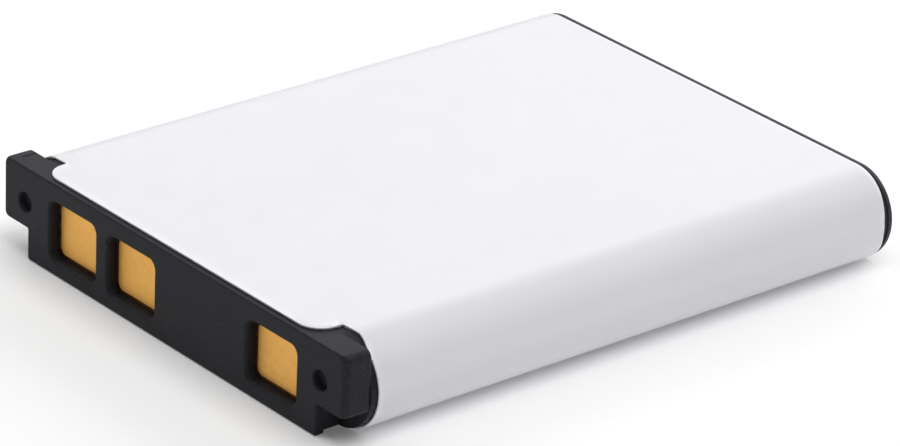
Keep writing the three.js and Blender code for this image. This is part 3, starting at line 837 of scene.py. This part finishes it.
# ------------------------------------------------------------------ inside
slots = {s["node"]: s["material_slot"] for s in frame["record"]["subparts"]} if "subparts" in frame["record"] else {}
LOOKS = {
    "circuit_board": lambda: plain("circuit_board", (0.018, 0.0105, 0.006), (0.026, 0.015, 0.0085), (0.34, 0.46), spec=0.3, size=0.25),
    "chip_epoxy": lambda: plain("chip_epoxy", (0.012, 0.012, 0.013), (0.02, 0.02, 0.021), (0.5, 0.62), size=0.07, depth=0.004),
    "chip_ceramic": lambda: plain("chip_ceramic", (0.30, 0.19, 0.10), (0.36, 0.24, 0.13), (0.45, 0.55), size=0.06),
    "chip_resistor": lambda: plain("chip_resistor", (0.010, 0.010, 0.012), (0.02, 0.02, 0.024), (0.3, 0.42), size=0.08),
    "nickel": lambda: plain("nickel", (0.50, 0.48, 0.44), (0.60, 0.58, 0.54), (0.26, 0.38), 1.0, size=0.1, depth=0.003, stretch=(0.15, 0.15, 1.0)),
    "solder": lambda: plain("solder", (0.58, 0.59, 0.61), (0.68, 0.69, 0.71), (0.16, 0.3), 1.0, size=0.25, depth=0.01),
    "aluminium": lambda: plain("aluminium", (0.56, 0.57, 0.59), (0.66, 0.67, 0.69), (0.3, 0.42), 1.0, size=0.12, depth=0.003, stretch=(1.0, 0.08, 1.0)),
    "fish_paper": lambda: plain("fish_paper", (0.50, 0.43, 0.24), (0.58, 0.51, 0.30), (0.7, 0.85), size=0.14, depth=0.01),
    "adhesive": lambda: plain("adhesive", (0.68, 0.66, 0.55), (0.76, 0.74, 0.64), (0.5, 0.65), size=0.2, depth=0.006),
    "insulator": lambda: plain("insulator", (0.66, 0.68, 0.70), (0.74, 0.76, 0.78), (0.34, 0.46), size=0.3),
    "anode": lambda: plain("anode", (0.016, 0.016, 0.018), (0.03, 0.03, 0.034), (0.62, 0.78), size=0.05, depth=0.006),
    "cathode": lambda: plain("cathode", (0.05, 0.05, 0.055), (0.075, 0.075, 0.082), (0.6, 0.75), size=0.05, depth=0.005),
    "separator": lambda: plain("separator", (0.76, 0.78, 0.80), (0.84, 0.86, 0.88), (0.42, 0.55), size=0.12),
    "yellow_tape": lambda: plain("yellow_tape", (0.48, 0.20, 0.012), (0.60, 0.27, 0.02), (0.2, 0.32), size=0.4),
    "cutoff": lambda: plain("cutoff", (0.02, 0.02, 0.022), (0.034, 0.034, 0.037), (0.42, 0.55), size=0.09, depth=0.004),
}
made = {}


def look(slot):
    made[slot] = made.get(slot) or LOOKS[slot]()
    return made[slot]


# the round pieces, turned finely: (node, piece, profile of (radius, depth), x, z)
ROUND = [
    ("terminal_rivet", "rivet_turned", [(0, 3.52), (1.5, 3.52), (1.6, 3.535), (1.67, 3.58), (1.7, 3.65), (1.7, 3.91), (1.68, 3.94), (0.73, 3.94), (0.7, 3.97), (0.7, 5.66), (1.13, 5.66), (1.15, 5.69), (1.12, 5.78), (1.04, 5.86), (0.85, 5.91), (0.6, 5.93), (0, 5.93)], 0, MID),
    ("rivet_gasket", "gasket_moulding", [(0.74, 3.97), (1.95, 3.97), (1.99, 3.99), (2.0, 4.03), (2.0, 4.25), (1.98, 4.28), (1.94, 4.29), (1.18, 4.29), (1.16, 4.31), (1.16, 5.06), (1.14, 5.08), (0.76, 5.08), (0.74, 5.06)], 0, MID),
    ("fill_plug", "fill_plug_turned", [(0, 4.36), (0.2, 4.35), (0.7, 4.35), (0.76, 4.37), (0.8, 4.42), (0.8, 4.5), (0.78, 4.52), (0.46, 4.52), (0.45, 4.54), (0.42, 4.98), (0.38, 5.03), (0, 5.05)], -8.2, MID),
    ("solder_joint_positive", "solder_fillet_positive", [(0, 1.63), (0.75, 1.63), (0.71, 1.66), (0.64, 1.7), (0.55, 1.745), (0.44, 1.79), (0.3, 1.83), (0.15, 1.853), (0, 1.86)], 10.3, 2.75),
    ("solder_joint_negative", "solder_fillet_negative", [(0, 1.63), (0.75, 1.63), (0.71, 1.66), (0.64, 1.7), (0.55, 1.745), (0.44, 1.79), (0.3, 1.83), (0.15, 1.853), (0, 1.86)], -10.3, 2.75),
]
for node, piece, profile, x, z in ROUND:
    o = turned(profile, x, z, 96)
    shade(o, 35)
    finish_piece(o, piece, node, look(slots[node]))
    weighted(o)


# the drawn can, its lid and the insulators that follow their outline
def slim(pts_hw, pts_r, d0, d1, front, back):
    return prism_y(stadium(pts_hw, pts_r, 40), d0, d1, front, back, 5)


can = slim(SHELL_HW, SHELL_R, 4.3, 38.6, 0.02, 0.3)
can = join(can, slim(SHELL_HW - 0.3, SHELL_R - 0.3, 3.0, 38.2, 0, 0.25))
lid = slim(SHELL_HW - 0.33, SHELL_R - 0.33, 4.32, 5.1, 0.03, 0.03)
lid = join(lid, turned([(0, 3), (1.2, 3), (1.2, 8), (0, 8)], 0, MID, 96))
lid = join(lid, turned([(0, 4), (0.88, 4), (0.88, 4.32), (0.85, 4.35), (0.85, 4.55), (0.5, 4.55), (0.5, 8), (0, 8)], -8.2, MID, 96))
score = prism_y(round_rect(5.4, MID, 2.6, 1.7, 0.8, 12), 4, 4.6)
lid = join(lid, join(score, prism_y(round_rect(5.4, MID, 2.2, 1.3, 0.6, 12), 3, 6)))
low = slim(15.05, 2.15, 37.98, 38.14, 0.03, 0.03)
high = slim(15.05, 2.15, 6.8, 7.05, 0.03, 0.03)
high = join(high, box(-3.45, -2.95, 6, 8, 1.4, 4.3))
high = join(high, box(9.15, 9.65, 6, 8, 1.4, 4.3))
for o, piece, node in ((can, "can_drawn", "cell_can"), (lid, "lid_plate", "cell_lid"), (low, "bottom_insulator_disc", "bottom_insulator"), (high, "top_insulator_disc", "top_insulator")):
    tidy(o, 0.001, 0.3)
    shade(o, 35)
    finish_piece(o, piece, node, look(slots[node]))
    weighted(o)


# the winding: sheets on a flat mandrel, their radius set by the turning angle
def wound(offset, thick, t0, t1, d0, d1, steps=24):
    pitch, core, r0 = 0.46, 12.6, 0.12
    turns = []
    for half in range(int(t0), int(t1) + 1):
        a = max(t0 - half, 0.0)
        b = min(t1 - half, 1.0)
        k = max(1, round(steps * (b - a)))
        turns += [(half, half + a + (b - a) * i / k) for i in range(k + 1)]
    rings = []
    for half, t in turns:
        turn = math.pi * t
        x0 = -core if half % 2 else core
        r = r0 + offset + pitch * turn / (2 * math.pi)
        a = turn - math.pi / 2
        ring = []
        for rr, d in ((r + thick, d0), (r + thick, d1), (r, d1), (r, d0)):
            ring.append((x0 + rr * math.cos(a), Y(d), MID + rr * math.sin(a)))
        rings.append(ring)
    return loft(rings)


for node, piece, offset, thick, t0, t1, d0, d1 in (
    ("separator_inner", "separator_wound_inner", 0.0, 0.05, 0.0, 8.5, 7.45, 37.9),
    ("anode_sheet", "anode_wound", 0.07, 0.14, 0.5, 8.0, 7.75, 37.6),
    ("separator_outer", "separator_wound_outer", 0.23, 0.05, 0.0, 8.5, 7.45, 37.9),
    ("cathode_sheet", "cathode_wound", 0.3, 0.14, 1.0, 7.625, 8.05, 37.3),
):
    o = wound(offset, thick, t0, t1, d0, d1)
    shade(o, 35)
    finish_piece(o, piece, node, look(slots[node]))

# what stays as designed gets its material, and a small broken edge
EDGE = {
    "protection_board": 0.04,
    "mosfet_pair": 0.03,
    "protection_ic": 0.03,
    "thermistor": 0.03,
    "id_resistor": 0.03,
    "filter_resistor": 0.03,
    "filter_capacitor": 0.03,
    "thermal_cutoff": 0.05,
    "positive_strip": 0.02,
    "negative_strip": 0.02,
    "board_negative_strip": 0.02,
    "collector_plate": 0.03,
    "inner_insulator": 0.04,
    "lid_paper": 0.015,
    "header_adhesive_left": 0.02,
    "header_adhesive_right": 0.02,
    "end_cap_adhesive": 0.015,
    "anode_tab": 0.02,
    "cathode_tab": 0.02,
}
for name, o in nodes.items():
    if o.hide_render:
        continue
    slot = slots.get(name)
    if slot in LOOKS:
        o.data.materials.clear()
        o.data.materials.append(look(slot))
    if name in EDGE:
        # the triangles come unjoined, and an edge can only be broken once they are joined
        m = o.modifiers.new("joined", "WELD")
        m.merge_threshold = 0.000001
        m = o.modifiers.new("edge", "BEVEL")
        m.width, m.segments, m.limit_method = EDGE[name] * 0.001, 2, "ANGLE"
        m.angle_limit, m.use_clamp_overlap = math.radians(50), True

# ------------------------------------------------------------------ stage
floor = bpy.data.meshes.new("floor")
R = 1.6
floor.from_pydata([(-R, -R, 0), (R, -R, 0), (R, R, 0), (-R, R, 0)], [], [(0, 1, 2, 3)])
floor_ob = bpy.data.objects.new("floor", floor)
scene.collection.objects.link(floor_ob)
floor_ob.location.z = -0.00002
f = Nodes("pale_floor")
f.set(
    color=f.mix(f.remap(f.noise(60.0, 2.0), 0.3, 0.7), (0.90, 0.90, 0.90), (0.91, 0.91, 0.91)),
    rough=0.9,
    spec=0.0,
    emit=(1.0, 1.0, 1.0),
    emit_power=0.12,
)
floor.materials.append(f.m)


def softbox(name, place, aim, size, power, color=(1, 1, 1)):
    d = bpy.data.lights.new(name, "AREA")
    d.shape, d.size, d.size_y, d.energy, d.color = "RECTANGLE", size[0], size[1], power, color
    o = bpy.data.objects.new(name, d)
    scene.collection.objects.link(o)
    o.location = place
    o.rotation_euler = (Vector(place) - Vector(aim)).to_track_quat("Z", "Y").to_euler()
    return o


softbox("top", (0, 0, 0.30), (0, 0, 0), (0.30, 0.30), 0.24)
softbox("top_right", (0.145, 0, 0.28), (0, 0, 0), (0.25, 0.25), 0.53)
softbox("back_left", (-0.22, 0.18, 0.15), (0, 0, 0), (0.30, 0.20), 0.344)
softbox("back", (0, 0.30, 0.15), (0, 0, 0), (0.25, 0.20), 0.45)
softbox("front_left", (-0.22, -0.13, 0.18), (0, 0, 0), (0.24, 0.20), 0.25)

world = bpy.data.worlds.new("studio")
scene.world = world
world.use_nodes = True
world.node_tree.nodes["Background"].inputs[0].default_value = (0.98, 0.99, 1.0, 1)
world.node_tree.nodes["Background"].inputs[1].default_value = 0.02
scene.view_settings.view_transform = "Standard"
scene.view_settings.look = "None"
scene.view_settings.exposure = 0
scene.view_settings.gamma = 1

# ------------------------------------------------------------------ camera
AZ, EL, ROLL = math.radians(49.393), math.radians(25.1745), math.radians(2.6484)
back = Vector((math.sin(AZ) * math.cos(EL), -math.cos(AZ) * math.cos(EL), math.sin(EL)))
target = Vector((1.3274, -0.9803, 2.85)) / 1000
fwd = -back
right = fwd.cross(Vector((0, 0, 1))).normalized()
up = right.cross(fwd)
r2 = right * math.cos(ROLL) + up * math.sin(ROLL)
u2 = -right * math.sin(ROLL) + up * math.cos(ROLL)
cam = bpy.data.cameras.new("camera")
cam.sensor_width = 36.0
cam.lens = 36.0 * 5020.011 / 900.0
cam.clip_start, cam.clip_end = 0.01, 10
cam_ob = bpy.data.objects.new("camera", cam)
scene.collection.objects.link(cam_ob)
m = Matrix((r2, u2, back)).transposed().to_4x4()
m.translation = target + back * 0.2820185
cam_ob.matrix_world = m
scene.camera = cam_ob
